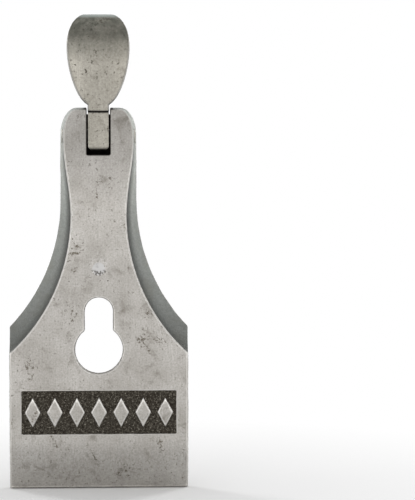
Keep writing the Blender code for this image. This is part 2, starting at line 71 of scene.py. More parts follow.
def applyModifier(piece, kind, **settings):
    makeActive(piece)
    mod = piece.modifiers.new(kind.lower(), kind)
    for key, value in settings.items():
        setattr(mod, key, value)
    bpy.ops.object.modifier_apply(modifier=mod.name)


def copyNode(nodeName, pieceName):
    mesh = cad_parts[nodeName].data.copy()
    mesh.name = pieceName
    mesh.materials.clear()
    piece = bpy.data.objects.new(pieceName, mesh)
    scene.collection.objects.link(piece)
    makeActive(piece)
    bpy.ops.object.mode_set(mode="EDIT")
    bpy.ops.mesh.select_all(action="SELECT")
    bpy.ops.mesh.remove_doubles(threshold=0.002 * mm)
    bpy.ops.mesh.customdata_custom_splitnormals_clear()
    bpy.ops.object.mode_set(mode="OBJECT")
    return piece


def finishPiece(piece, nodeName, body, material):
    piece.data.materials.clear()
    piece.data.materials.append(material)
    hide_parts(nodeName)
    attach(piece, body)
    print(piece.name, "has", len(piece.data.polygons), "faces")


def softenEdges(piece, voxel, turns):
    # an even mesh, smoothed a little, so that every edge is rounded
    applyModifier(piece, "REMESH", mode="VOXEL", voxel_size=voxel, use_smooth_shade=True)
    applyModifier(piece, "SMOOTH", factor=0.5, iterations=turns)


def pressGrain(piece, name, size, depth, detail):
    texture = bpy.data.textures.new(name, "CLOUDS")
    texture.noise_scale = size
    texture.noise_depth = detail
    applyModifier(piece, "DISPLACE", strength=depth, mid_level=0.5, vertex_group="castSkin", texture=texture)


def thinOut(piece, maxTriangles):
    triangles = sum(len(p.vertices) - 2 for p in piece.data.polygons)
    if triangles > maxTriangles:
        applyModifier(piece, "DECIMATE", ratio=maxTriangles / triangles)


def selectFaces(piece, test):
    bpy.ops.object.mode_set(mode="OBJECT")
    for face in piece.data.polygons:
        face.select = test(face)
    bpy.ops.object.mode_set(mode="EDIT")


def readMesh(piece):
    mesh = piece.data
    count = len(mesh.vertices)
    places = np.zeros(count * 3, np.float32)
    mesh.vertices.foreach_get("co", places)
    normals = np.zeros(count * 3, np.float32)
    mesh.vertex_normals.foreach_get("vector", normals)
    return places.reshape(-1, 3), normals.reshape(-1, 3)


def readEdges(piece):
    ends = np.zeros(len(piece.data.edges) * 2, np.int32)
    piece.data.edges.foreach_get("vertices", ends)
    return ends[0::2], ends[1::2]


def roundness(piece):
    # how far each point stands out of its neighbours: above 0 on edges, below 0 in corners
    places, normals = readMesh(piece)
    first, second = readEdges(piece)
    count = len(places)
    way = places[first] - places[second]
    way = way / np.maximum(np.linalg.norm(way, axis=1, keepdims=True), 1e-9)
    total = np.bincount(first, (normals[first] * way).sum(1), count)
    total = total - np.bincount(second, (normals[second] * way).sum(1), count)
    number = np.bincount(first, minlength=count) + np.bincount(second, minlength=count)
    return total / np.maximum(number, 1)


def spread(piece, values, turns):
    # lets a mask run out softly into its surroundings
    first, second = readEdges(piece)
    count = len(values)
    number = np.maximum(np.bincount(first, minlength=count) + np.bincount(second, minlength=count), 1)
    for turn in range(turns):
        around = np.bincount(first, values[second], count) + np.bincount(second, values[first], count)
        values = 0.5 * values + 0.5 * around / number
    return values


def distanceTo(places, chosen, asked):
    # how far each asked point lies from the nearest chosen one
    tree = kdtree.KDTree(int(chosen.sum()))
    for index, place in enumerate(places[chosen]):
        tree.insert(place, index)
    tree.balance()
    away = np.ones(len(places))
    away[asked] = [tree.find(place)[2] for place in places[asked]]
    return away


def ramp(values, low, high):
    return np.clip((values - low) / (high - low), 0, 1)


def band(values, rise, full, fade, end):
    # 1 between full and fade, running out to 0 at rise and end
    return ramp(values, rise, full) * (1 - ramp(values, fade, end))


def storeMask(piece, name, values):
    layer = piece.data.attributes.new(name, "FLOAT", "POINT")
    layer.data.foreach_set("value", np.asarray(values, np.float32))


def storeGroup(piece, name, values):
    group = piece.vertex_groups.new(name=name)
    for step in range(11):
        chosen = np.nonzero(np.rint(values * 10) == step)[0]
        if len(chosen):
            group.add(chosen.tolist(), step / 10, "REPLACE")


# shader helpers
def addNode(tree, kind, **settings):
    node = tree.nodes.new(kind)
    for key, value in settings.items():
        setattr(node, key, value)
    return node


def noiseNode(tree, vector, size, detail=3.0, roughness=0.55, distortion=0.0):
    # size is the width of one patch
    node = addNode(tree, "ShaderNodeTexNoise")
    node.inputs["Scale"].default_value = 1.0 / size
    node.inputs["Detail"].default_value = detail
    node.inputs["Roughness"].default_value = roughness
    node.inputs["Distortion"].default_value = distortion
    tree.links.new(vector, node.inputs["Vector"])
    return node.outputs["Fac"]


def stretchNode(tree, vector, scale):
    node = addNode(tree, "ShaderNodeMapping")
    node.inputs["Scale"].default_value = scale
    tree.links.new(vector, node.inputs["Vector"])
    return node.outputs["Vector"]


def rangeNode(tree, value, low, high, toLow=0.0, toHigh=1.0):
    node = addNode(tree, "ShaderNodeMapRange")
    node.inputs["From Min"].default_value = low
    node.inputs["From Max"].default_value = high
    node.inputs["To Min"].default_value = toLow
    node.inputs["To Max"].default_value = toHigh
    tree.links.new(value, node.inputs["Value"])
    return node.outputs["Result"]


def mathNode(tree, operation, first, second):
    node = addNode(tree, "ShaderNodeMath", operation=operation)
    for socket, value in zip(node.inputs, (first, second)):
        if isinstance(value, (int, float)):
            socket.default_value = value
        else:
            tree.links.new(value, socket)
    return node.outputs["Value"]


def timesNode(tree, first, second):
    return mathNode(tree, "MULTIPLY", first, second)


def plusNode(tree, first, second):
    return mathNode(tree, "ADD", first, second)


def mixNode(tree, factor, first, second, blend="MIX"):
    node = addNode(tree, "ShaderNodeMix", data_type="RGBA", blend_type=blend)
    for socket, value in zip((node.inputs[0], node.inputs[6], node.inputs[7]), (factor, first, second)):
        if isinstance(value, (int, float)):
            socket.default_value = value
        elif isinstance(value, tuple):
            socket.default_value = (*value, 1.0)
        else:
            tree.links.new(value, socket)
    return node.outputs[2]


def coatNode(tree, cover, strength, below, above):
    # lays the colour above over the one below, where cover is up
    return mixNode(tree, timesNode(tree, cover, strength), below, above)


def tintNode(tree, color, noise, low, high, tintLow, tintHigh):
    # multiplies a colour by a tint that follows a noise
    tint = mixNode(tree, rangeNode(tree, noise, low, high), tintLow, tintHigh)
    return mixNode(tree, 1.0, color, tint, "MULTIPLY")


def scaleNode(tree, color, factor):
    node = addNode(tree, "ShaderNodeVectorMath", operation="SCALE")
    tree.links.new(color, node.inputs[0])
    tree.links.new(factor, node.inputs["Scale"])
    return node.outputs["Vector"]


def spotNode(tree, vector, z, inner, outer):
    # soft round spot on the middle line, seen along the depth: 1 inside, 0 outside
    moved = addNode(tree, "ShaderNodeMapping")
    moved.inputs["Location"].default_value = (0, 0, -z)
    moved.inputs["Scale"].default_value = (1, 0, 1)
    tree.links.new(vector, moved.inputs["Vector"])
    away = addNode(tree, "ShaderNodeVectorMath", operation="LENGTH")
    tree.links.new(moved.outputs["Vector"], away.inputs[0])
    return rangeNode(tree, away.outputs["Value"], inner, outer, 1.0, 0.0)


def maskNode(tree, name):
    return addNode(tree, "ShaderNodeAttribute", attribute_name=name).outputs["Fac"]


def maskNodes(tree, names):
    return {name: maskNode(tree, name) for name in names.split()}


def bumpNode(tree, height, strength, distance):
    node = addNode(tree, "ShaderNodeBump")
    node.inputs["Strength"].default_value = strength
    node.inputs["Distance"].default_value = distance
    tree.links.new(height, node.inputs["Height"])
    return node.outputs["Normal"]


def newGroup(name, inputs, outputs):
    # an input is a vector if it has no value, a colour if it has three numbers, else a plain value
    tree = bpy.data.node_groups.new(name, "ShaderNodeTree")
    for label, value in inputs.items():
        if value is None:
            tree.interface.new_socket(label, in_out="INPUT", socket_type="NodeSocketVector")
        elif isinstance(value, tuple):
            socket = tree.interface.new_socket(label, in_out="INPUT", socket_type="NodeSocketColor")
            socket.default_value = (*value, 1.0)
        else:
            socket = tree.interface.new_socket(label, in_out="INPUT", socket_type="NodeSocketFloat")
            socket.default_value = value
    for label in outputs:
        kind = "NodeSocketColor" if label == "Color" else "NodeSocketFloat"
        tree.interface.new_socket(label, in_out="OUTPUT", socket_type=kind)
    return tree, tree.nodes.new("NodeGroupInput").outputs, tree.nodes.new("NodeGroupOutput").inputs


def placeGroup(tree, group, vector, **values):
    node = addNode(tree, "ShaderNodeGroup", node_tree=group)
    tree.links.new(vector, node.inputs["Vector"])
    for key, value in values.items():
        node.inputs[key].default_value = (*value, 1.0) if isinstance(value, tuple) else value
    return node.outputs


def newMaterial(name):
    material = bpy.data.materials.new(name)
    material.use_nodes = True
    tree = material.node_tree
    shader = tree.nodes["Principled BSDF"]
    vector = addNode(tree, "ShaderNodeTexCoord").outputs["Object"]
    return material, tree, shader, vector


# bright ground iron: grinding lines along the cap, soft clouds, pepper, dark pits and stains
def makeGroundGroup():
    tree, given, result = newGroup(
        "groundIron",
        {"Vector": None, "Bright": (0.45, 0.43, 0.41), "Stain": (0.13, 0.11, 0.08), "Pits": 1.0},
        ("Color", "Roughness", "Height"))
    vector = given["Vector"]
    lines = noiseNode(tree, stretchNode(tree, vector, (1.0, 1.0, 0.035)), 0.30 * mm, 3.0, 0.65)
    clouds = noiseNode(tree, vector, 12.0 * mm, 4.0, 0.6, 0.4)
    patches = noiseNode(tree, vector, 4.2 * mm, 5.0, 0.65, 0.6)
    pepper = noiseNode(tree, vector, 0.50 * mm, 3.0, 0.65)
    specks = noiseNode(tree, vector, 1.0 * mm, 4.0, 0.62, 0.2)
    color = tintNode(tree, given["Bright"], clouds, 0.3, 0.7, (0.86, 0.85, 0.83), (1.10, 1.10, 1.10))
    color = tintNode(tree, color, lines, 0.28, 0.72, (0.92, 0.92, 0.92), (1.08, 1.08, 1.08))
    color = tintNode(tree, color, pepper, 0.30, 0.70, (1.16, 1.16, 1.16), (0.80, 0.79, 0.77))
    color = coatNode(tree, rangeNode(tree, patches, 0.55, 0.70), 0.44, color, given["Stain"])
    where = rangeNode(tree, clouds, 0.40, 0.62, 0.25, 1.0)
    pits = timesNode(tree, rangeNode(tree, specks, 0.605, 0.69), where)
    pits = timesNode(tree, pits, given["Pits"])
    color = coatNode(tree, pits, 0.8, color, given["Stain"])
    # scuffs: crisp dark flecks that lie in clusters
    flecks = noiseNode(tree, vector, 0.8 * mm, 5.0, 0.72, 0.5)
    clusters = rangeNode(tree, noiseNode(tree, vector, 9.5 * mm, 3.0, 0.6, 0.8), 0.545, 0.665, -0.09, 0.085)
    scuffs = rangeNode(tree, plusNode(tree, flecks, clusters), 0.575, 0.625)
    scuffs = timesNode(tree, scuffs, given["Pits"])
    color = coatNode(tree, scuffs, 0.85, color, given["Stain"])
    tree.links.new(color, result["Color"])
    rough = rangeNode(tree, clouds, 0.3, 0.7, 0.46, 0.38)
    tree.links.new(plusNode(tree, rough, timesNode(tree, pits, 0.25)), result["Roughness"])
    height = mathNode(tree, "SUBTRACT", timesNode(tree, lines, 0.25), pits)
    tree.links.new(height, result["Height"])
    return tree


# rough cast skin: pebbled grain, painted darker in its hollows and lighter on its tops as shade and light,
# painted glints on its tops, and brown patches
def makeCastGroup():
    tree, given, result = newGroup(
        "castSkin",
        {"Vector": None, "Top": (0.22, 0.20, 0.17), "Low": (0.045, 0.038, 0.030),
         "Brown": (0.10, 0.068, 0.042), "Glint": (0.42, 0.40, 0.35), "Glints": 1.0},
        ("Color", "Roughness", "Height"))
    vector = given["Vector"]
    grain = noiseNode(tree, vector, 0.70 * mm, 4.0, 0.62, 0.3)
    fine = noiseNode(tree, vector, 0.34 * mm, 2.0, 0.6)
    patches = noiseNode(tree, vector, 7.0 * mm, 4.0, 0.62, 0.5)
    height = plusNode(tree, timesNode(tree, grain, 0.6), timesNode(tree, fine, 0.4))
    color = mixNode(tree, rangeNode(tree, height, 0.41, 0.61), given["Low"], given["Top"])
    color = mixNode(tree, rangeNode(tree, patches, 0.48, 0.66, 0.0, 0.5), color, given["Brown"])
    shine = timesNode(tree, rangeNode(tree, fine, 0.55, 0.66), rangeNode(tree, grain, 0.48, 0.58))
    shine = timesNode(tree, shine, given["Glints"])
    color = mixNode(tree, shine, color, given["Glint"])
    tree.links.new(color, result["Color"])
    tree.links.new(rangeNode(tree, grain, 0.35, 0.65, 0.75, 0.55), result["Roughness"])
    tree.links.new(height, result["Height"])
    return tree


# rust bloom: soft stain, a halo round each blotch, the blotch itself, its dark heart, and fine specks
def makeRustGroup():
    tree, given, result = newGroup(
        "rustBloom", {"Vector": None, "Amount": 0.5}, ("Halo", "Rust", "Heart", "Specks", "Stain"))
    vector = given["Vector"]
    blotches = noiseNode(tree, vector, 3.7 * mm, 5.0, 0.66, 0.5)
    ragged = noiseNode(tree, vector, 0.9 * mm, 4.0, 0.72, 0.3)
    fine = noiseNode(tree, vector, 0.62 * mm, 3.0, 0.70, 0.2)
    clouds = noiseNode(tree, vector, 9.5 * mm, 3.0, 0.6, 0.4)
    amount = timesNode(tree, mathNode(tree, "SUBTRACT", given["Amount"], 0.5), 0.3)
    base = plusNode(tree, timesNode(tree, blotches, 0.64), timesNode(tree, ragged, 0.36))
    level = plusNode(tree, base, amount)
    tree.links.new(rangeNode(tree, level, 0.51, 0.62), result["Halo"])
    tree.links.new(rangeNode(tree, level, 0.58, 0.615), result["Rust"])
    tree.links.new(rangeNode(tree, level, 0.618, 0.655), result["Heart"])
    lean = timesNode(tree, mathNode(tree, "SUBTRACT", base, 0.5), 0.55)
    dots = plusNode(tree, plusNode(tree, fine, lean), amount)
    tree.links.new(rangeNode(tree, dots, 0.535, 0.585), result["Specks"])
    tree.links.new(rangeNode(tree, clouds, 0.38, 0.66), result["Stain"])
    return tree


groundGroup = makeGroundGroup()
castGroup = makeCastGroup()
rustGroup = makeRustGroup()
print("shader groups made")

# the cap casting, ground bright in front and rough behind
cap = {
    "voxel": 0.20 * mm, "smoothTurns": 5, "maxTriangles": 185000,
    "grainSize": 0.6 * mm, "grainDepth": 0.11 * mm, "waveSize": 4.0 * mm, "waveDepth": 0.14 * mm,
    # the front face, which rolls back at its lower end, and its panel
    "rollTop": -36.0 * mm, "rollHeight": 13.8 * mm, "rollDepth": 2.0 * mm, "flatWithin": 0.025 * mm,
    "panelLow": -36.5 * mm, "panelHigh": -20.0 * mm, "rivetReach": 3.0 * mm,
    # the ears with the slot between them, and the hollow sides
    "earLow": 42.0 * mm, "earHigh": 50.0 * mm, "slotHalf": 4.5 * mm, "slotLow": 42.0 * mm,
    "sideLow": -13.5 * mm, "sideHalf": 7.2 * mm, "crownLow": 54.0 * mm, "crownHalf": 4.2 * mm,
    # the back: lip, pocket, boss round the keyhole, channel for the spring
    "backAtLip": 5.0 * mm, "lipZ": -49.8 * mm, "padTop": -44.5 * mm,
    "pocketHalf": 21.8 * mm, "pocketTop": -6.4 * mm, "bossHalf": 9.6 * mm, "bossTop": 8.0 * mm,
    "keyholeHalf": 10.0 * mm, "keyholeLow": -20.8 * mm, "channelHalf": 10.3 * mm, "channelLow": 7.2 * mm,
    "railX": (20.8 * mm, 22.2 * mm), "railZ": (-7 * mm, 5 * mm), "rubZ": (-22 * mm, 42 * mm),
    "middleX": (18 * mm, 21 * mm), "middleZ": (-4 * mm, 6 * mm), "wallSpread": 40,
    # brightness along the height, in mm, partly painted light and shade: the ground face, then the sides
    # under the face and further out
    "toneHeights": [-48, -40, -30, -18, -5, 8, 24, 32, 44, 56],
    "tones": [1.34, 1.06, 0.98, 1.0, 0.93, 0.89, 0.98, 0.98, 0.73, 0.70],
    "coveHeights": [-12, 0, 10, 26, 38, 50],
    "coveNear": [0.130, 0.134, 0.126, 0.082, 0.19, 0.48],
    "coveFar": [0.21, 0.30, 0.35, 0.42, 0.62, 0.80],
    "bright": (0.31, 0.30, 0.285), "stain": (0.075, 0.062, 0.045), "edge": (0.62, 0.605, 0.58),
    "skinTop": (0.236, 0.215, 0.183), "skinLow": (0.050, 0.0435, 0.0355), "wornSheen": (0.36, 0.345, 0.31),
    "paintedShade": (0.007, 0.0045, 0.0035), "grime": (0.038, 0.027, 0.021),
    "shadedBackTint": (0.55, 0.50, 0.44), "litBackTint": (1.75, 1.78, 1.80),
    "panelSkin": {"Top": (0.10, 0.09, 0.072), "Low": (0.020, 0.016, 0.012), "Glint": (0.34, 0.31, 0.26),
                  "Brown": (0.035, 0.027, 0.02), "Glints": 1.0},
    "sideSkin": {"Top": (1.06, 1.06, 1.06), "Low": (0.88, 0.88, 0.88), "Glint": (1.1, 1.1, 1.1),
                 "Brown": (0.86, 0.83, 0.78), "Glints": 0.3},
    "coveTint": (0.985, 1.02, 0.965),
    "lip": (0.125, 0.120, 0.098), "lipStain": (0.045, 0.038, 0.028), "lipSmear": (0.046, 0.044, 0.034),
}
rollRadius = (cap["rollHeight"] ** 2 + cap["rollDepth"] ** 2) / (2 * cap["rollDepth"])


def frontDepth(z):
    below = np.maximum(cap["rollTop"] - z, 0)
    return rollRadius - np.sqrt(np.maximum(rollRadius**2 - below**2, 0))


def capMasks(piece):
    places, normals = readMesh(piece)
    x, y, z = places.T
    across = np.abs(x)
    toFront, toBack = -normals[:, 1], normals[:, 1]
    offFront = y - frontDepth(z)
    sunk = cap["backAtLip"] + backSlope * (z - cap["lipZ"]) - y
    ground = ramp(toFront, 0.82, 0.95) * (1 - ramp(offFront, 0.12 * mm, 0.22 * mm))
    # the rivet's end covers the edge of its hole, so no worn and highlighted rim shows there
    byRivet = (np.hypot(x, z - rivetZ) < cap["rivetReach"]) & (offFront < 0.6 * mm)
    ground = np.where(byRivet, 1.0, ground)
    pad = ramp(toBack, 0.93, 0.98) * (1 - ramp(np.abs(sunk), 0.1 * mm, 0.25 * mm))
    pad = pad * (1 - ramp(z, cap["padTop"] - 0.4 * mm, cap["padTop"] + 0.8 * mm))
    inPanel = (z < cap["panelHigh"]) & (z > cap["panelLow"])
    panel = ramp(toFront, 0.3, 0.6) * band(offFront, 0.12 * mm, 0.3 * mm, 0.9 * mm, 1.1 * mm) * inPanel
    # the hollow sides, up to the rounded tops of the ears
    atEars = ramp(z, cap["earLow"], cap["earHigh"])
    side = ramp(toFront + 0.25 * atEars, 0.0, 0.2) * (1 - ground) * (1 - panel) * (z > cap["sideLow"])
    side = side * ((across > cap["sideHalf"]) | ((z > cap["crownLow"]) & (across > cap["crownHalf"])))
    # painted shade on the walls: pocket, bevel of the keyhole, slot and channel; the bevel has less of it
    # where it faces up
    abovePad = z > cap["padTop"]
    pocket = (across < cap["pocketHalf"]) & abovePad & (z < cap["pocketTop"])
    boss = (across < cap["bossHalf"]) & (z < cap["bossTop"])
    wall = ramp(1 - toBack, 0.03, 0.30) * ((pocket | boss) & (offFront > 0.7 * mm) & abovePad)
    keyhole = (across < cap["keyholeHalf"]) & (z > cap["keyholeLow"])
    bevel = (0.22 + 0.70 * ramp(sunk, 0.7 * mm, 4.2 * mm)) * (1 - 0.92 * ramp(normals[:, 2], 0.05, 0.4))
    wall = wall * np.where(keyhole, bevel, ramp(sunk, 0.05 * mm, 0.5 * mm))
    inSlot = (across < cap["slotHalf"]) & (z > cap["slotLow"])
    slot = inSlot & (offFront > 0.1 * mm) & (toBack < 0.9)
    channel = (across < cap["channelHalf"]) & (z > cap["channelLow"]) & (sunk > 0.5 * mm) & (toBack > -0.5)
    wall = np.maximum(wall, np.maximum(slot, 0.85 * channel))
    # painted shade runs out softly from the walls over the pocket's floor
    soft = spread(piece, wall * pocket, cap["wallSpread"]) * ramp(sunk, 0.4 * mm, 1.2 * mm) * pocket
    wall = np.maximum(wall, np.clip(1.3 * soft, 0, 0.85))
    # painted shade at the foot of the pocket's walls, a dark band that is wider where the pocket is deeper
    steep = pocket & ~keyhole & (toBack < 0.75) & (sunk > 0.3 * mm)
    floor = pocket & ~steep & (toBack > 0.75) & (sunk > 0.3 * mm)
    foot = distanceTo(places, steep, floor) / np.maximum(sunk, 0.1 * mm)
    wall = np.maximum(wall, 0.93 * (1 - ramp(foot, 0.38, 0.58)) * floor)
    # the outer rails are paler than the middle, and lower down the back is painted lighter, as light
    rail = ramp(across, *cap["railX"]) * (1 - ramp(z, *cap["railZ"]))
    middle = (1 - ramp(across, *cap["middleX"])) * (1 - ramp(z, *cap["middleZ"]))
    rub = 0.69 * ramp(-z, *cap["rubZ"]) + 0.32 * rail - 0.09 * middle
    # the hollow side, painted shade and light: dark under the face, paler out towards the back and up the
    # neck
    near = np.interp(z / mm, cap["coveHeights"], cap["coveNear"])
    far = np.interp(z / mm, cap["coveHeights"], cap["coveFar"])
    cove = ramp(offFront, 0.9 * mm, 5.0 * mm) * ramp(toFront, 0.15, 0.75)
    nearFace = (1 - ramp(offFront, 0.35 * mm, 0.65 * mm)) * ramp(toFront, -0.1, 0.2)
    return {
        "ground": ground, "pad": pad, "panel": panel, "side": side, "wall": wall, "rub": rub,
        # painted shade, darker where the back is sunk deeper
        "depth": ramp(sunk, 0.3 * mm, 4.0 * mm) * ramp(toBack, 0.2, 0.6),
        "tone": np.interp(z / mm, cap["toneHeights"], cap["tones"]),
        "nearFace": nearFace * ~(inSlot | byRivet) * (1 - 0.55 * atEars),
        "coveShade": near + (far - near) * cove,
    }


def flattenFace(piece):
    # gives the ground face and its rolled lower end their exact normals
    mesh = piece.data
    places, smooth = readMesh(piece)
    corners = np.zeros(len(mesh.loops) * 3, np.float32)
    mesh.corner_normals.foreach_get("vector", corners)
    owner = np.zeros(len(mesh.loops), np.int32)
    mesh.loops.foreach_get("vertex_index", owner)
    normals = np.zeros_like(places)
    normals[owner] = corners.reshape(-1, 3)
    flat = (np.abs(places[:, 1] - frontDepth(places[:, 2])) < cap["flatWithin"]) & (smooth[:, 1] < -0.9)
    lean = np.maximum(cap["rollTop"] - places[:, 2], 0) / rollRadius
    exact = np.stack([np.zeros(len(places)), -np.sqrt(1 - lean**2), -lean], 1)
    normals[flat] = exact[flat]
    mesh.normals_split_custom_set_from_vertices(normals.tolist())


def makeCap():
    piece = copyNode("cap_casting", "capCasting")
    softenEdges(piece, cap["voxel"], cap["smoothTurns"])
    # masks are read off the smooth shape, before the grain is pressed into it
    masks = capMasks(piece)
    bend = roundness(piece)
    masks["edge"] = ramp(bend, 0.02, 0.08)
    masks["corner"] = ramp(-bend, 0.06, 0.22)
    masks["rim"] = ramp(bend, 0.03, 0.09) * masks.pop("nearFace")
    for name, values in masks.items():
        storeMask(piece, name, values)
    rough = np.clip(1 - masks["ground"] - masks["pad"] - 0.8 * masks["side"] - 0.5 * masks["edge"], 0, 1)
    storeGroup(piece, "castSkin", rough)
    pressGrain(piece, "castWave", cap["waveSize"], cap["waveDepth"], 1)
    pressGrain(piece, "castGrain", cap["grainSize"], cap["grainDepth"], 2)
    thinOut(piece, cap["maxTriangles"])
    bpy.ops.object.shade_smooth()
    # large flat faces lead, and the ground face shades flat right up to its rim
    applyModifier(piece, "WEIGHTED_NORMAL", mode="FACE_AREA", weight=50)
    flattenFace(piece)
    piece.vertex_groups.clear()
    return piece


def capMaterial():
    material, tree, shader, vector = newMaterial("capIron")
    mask = maskNodes(tree, "ground pad panel side wall depth rub coveShade tone edge corner rim")
    bright = placeGroup(tree, groundGroup, vector, Bright=cap["bright"], Stain=cap["stain"], Pits=1.0)
    cast = placeGroup(tree, castGroup, vector, Top=cap["skinTop"], Low=cap["skinLow"], Glints=0.6)
    panelSkin = placeGroup(tree, castGroup, vector, **cap["panelSkin"])
    sideSkin = placeGroup(tree, castGroup, vector, **cap["sideSkin"])
    along = stretchNode(tree, vector, (0.03, 1.0, 1.0))
    lip = placeGroup(tree, groundGroup, along, Bright=cap["lip"], Stain=cap["lipStain"], Pits=0.6)
    # back: painted light and shade, browner and darker by the ears and lighter towards the lip; blotchy
    # grime; painted shade in the hollows, on the walls and in the inner corners
    tone = mixNode(tree, mask["rub"], cap["shadedBackTint"], cap["litBackTint"])
    color = mixNode(tree, 1.0, cast["Color"], tone, "MULTIPLY")
    grime = rangeNode(tree, noiseNode(tree, vector, 13.0 * mm, 4.0, 0.6, 0.4), 0.49, 0.66, 0.0, 0.60)
    color = mixNode(tree, grime, color, cap["grime"])
    color = coatNode(tree, mask["depth"], 0.86, color, cap["paintedShade"])
    color = coatNode(tree, mask["wall"], 0.97, color, cap["paintedShade"])
    color = coatNode(tree, mask["corner"], 0.5, color, cap["paintedShade"])
    # paler edges: wear with a painted highlight, less of it on the shaded walls
    wearAndSheen = rangeNode(tree, mask["wall"], 0.0, 1.0, 0.45, 0.13)
    color = coatNode(tree, mask["edge"], wearAndSheen, color, cap["wornSheen"])
    # sides, panel, lip and ground face
    cove = mixNode(tree, 1.0, sideSkin["Color"], cap["coveTint"], "MULTIPLY")
    color = mixNode(tree, mask["side"], color, scaleNode(tree, cove, mask["coveShade"]))
    color = mixNode(tree, mask["panel"], color, panelSkin["Color"])
    streaks = noiseNode(tree, stretchNode(tree, vector, (0.35, 1.0, 1.0)), 5.2 * mm, 4.0, 0.62, 0.4)
    smeared = mixNode(tree, rangeNode(tree, streaks, 0.46, 0.64, 0.0, 0.62), lip["Color"], cap["lipSmear"])
    color = mixNode(tree, mask["pad"], color, smeared)
    # the ground face, partly painted light and shade along its height
    color = mixNode(tree, mask["ground"], color, scaleNode(tree, bright["Color"], mask["tone"]))
    # its rim: wear with a painted highlight
    color = coatNode(tree, mask["rim"], 0.9, color, cap["edge"])
    tree.links.new(color, shader.inputs["Base Color"])
    rough = mixNode(tree, mask["ground"], cast["Roughness"], bright["Roughness"])
    tree.links.new(rough, shader.inputs["Roughness"])
    metal = mathNode(tree, "MAXIMUM", mask["ground"], mask["rim"])
    tree.links.new(metal, shader.inputs["Metallic"])
    shader.inputs["Specular IOR Level"].default_value = 0.06
    height = mixNode(tree, metal, cast["Height"], timesNode(tree, bright["Height"], 0.08))
    tree.links.new(bumpNode(tree, height, 0.8, 0.42 * mm), shader.inputs["Normal"])
    return material


capPiece = makeCap()
finishPiece(capPiece, "cap_casting", "cap", capMaterial())

# the cam lever with its thumb piece
lever = {
    "voxel": 0.15 * mm, "smoothTurns": 4, "maxTriangles": 150000,
    "grainSize": 0.55 * mm, "grainDepth": 0.09 * mm,
    "hubHalf": 2.92 * mm, "hubLow": 45.14 * mm, "hubRound": 1.3 * mm, "frontWithin": 6.0 * mm,
    "creaseZ": 55.8 * mm, "creaseHeight": 0.34 * mm, "creaseWidth": 8.0 * mm, "creaseDepth": 0.55 * mm,
    "creaseReach": 0.26 * mm, "keelX": (0.10 * mm, 0.85 * mm), "glowX": (0.3 * mm, 3.4 * mm),
    # heights of the paler sides, the painted highlight on the keel behind, the painted glow round it, the
    # painted shade on the tip and the painted highlight on the facet at its top
    "paleSideZ": (55 * mm, 57 * mm, 72 * mm, 77 * mm), "keelZ": (60 * mm, 65 * mm, 70 * mm, 79 * mm),
    "glowZ": (58 * mm, 64 * mm, 67 * mm, 76 * mm), "bendZ": (69.5 * mm, 82.5 * mm),
    "tipReflectionZ": (81.9 * mm, 82.7 * mm), "tipShadeZ": (65 * mm, 76 * mm), "rootZ": (57 * mm, 66 * mm),
    "facetZ": 80.7 * mm, "facetSlope": 1.15,
    "bright": (0.235, 0.225, 0.200), "stain": (0.060, 0.050, 0.037), "bendShade": (0.076, 0.078, 0.064),
    "tipRim": (0.36, 0.40, 0.38), "sidePale": (0.42, 0.41, 0.385),
    "skinTop": (0.15, 0.138, 0.116), "skinLow": (0.024, 0.019, 0.015), "brown": (0.07, 0.052, 0.036),
    "paintedShade": (0.006, 0.0045, 0.004), "keel": (0.34, 0.33, 0.30), "edge": (0.20, 0.19, 0.165),
    "facet": (0.34, 0.33, 0.305),
}


def leverMasks(piece):
    places, normals = readMesh(piece)
    x, y, z = places.T
    across = np.abs(x)
    toFront, toBack = -normals[:, 1], normals[:, 1]
    inFront = y < lever["frontWithin"]
    ground = ramp(toFront, 0.02, 0.22) * inFront
    behind = ramp(toBack, 0.2, 0.5)
    facet = ramp(lever["facetSlope"] * (z - lever["facetZ"]) - across, -0.1 * mm, 0.2 * mm)
    facet = facet * ramp(toBack, 0.1, 0.4) * (z > lever["facetZ"] - 0.1 * mm)
    crease = np.abs(z - lever["creaseZ"]) < lever["creaseReach"]
    return {
        "ground": ground, "facet": facet,
        "bendBack": ramp(z, *lever["bendZ"]),
        "tipRim": ramp(z, *lever["tipReflectionZ"]) * ground,
        "tipDark": ramp(z, *lever["tipShadeZ"]) * ramp(toBack, -0.3, 0.1),
        "low": 1 - ramp(z, *lever["rootZ"]),
        "side": band(toFront, 0.05, 0.3, 0.6, 0.92) * band(z, *lever["paleSideZ"]) * inFront,
        "keel": (1 - ramp(across, *lever["keelX"])) * behind * band(z, *lever["keelZ"]),
        "glow": (1 - ramp(across, *lever["glowX"])) * behind * band(z, *lever["glowZ"]),
        "crease": crease * ramp(y, -0.14 * mm, 0.0) * (y < 0.9 * mm),
    }


def roundHub(piece):
    # rounds the two lower corners of the hub, as seen from the front
    places = readMesh(piece)[0]
    radius = lever["hubRound"]
    out = np.abs(places[:, 0]) - (lever["hubHalf"] - radius)
    down = lever["hubLow"] + radius - places[:, 2]
    away = np.hypot(out, down)
    corner = (out > 0) & (down > 0) & (away > radius)
    pull = radius / away[corner]
    places[corner, 0] = np.sign(places[corner, 0]) * (lever["hubHalf"] - radius + out[corner] * pull)
    places[corner, 2] = lever["hubLow"] + radius - down[corner] * pull
    piece.data.vertices.foreach_set("co", places.ravel())
    piece.data.update()


def cutCrease(piece):
    # the thin crease across the front, above the hub
    deselectAll()
    middle = lever["creaseDepth"] / 2 - 0.5 * mm
    bpy.ops.mesh.primitive_cube_add(size=1, location=(0, middle, lever["creaseZ"]))
    cutter = bpy.context.object
    size = (lever["creaseWidth"], lever["creaseDepth"] + 1.0 * mm, lever["creaseHeight"])
    bpy.ops.transform.resize(value=size)
    bpy.ops.object.transform_apply(location=True, rotation=True, scale=True)
    applyModifier(piece, "BOOLEAN", operation="DIFFERENCE", object=cutter, solver="EXACT")
    bpy.data.objects.remove(cutter)


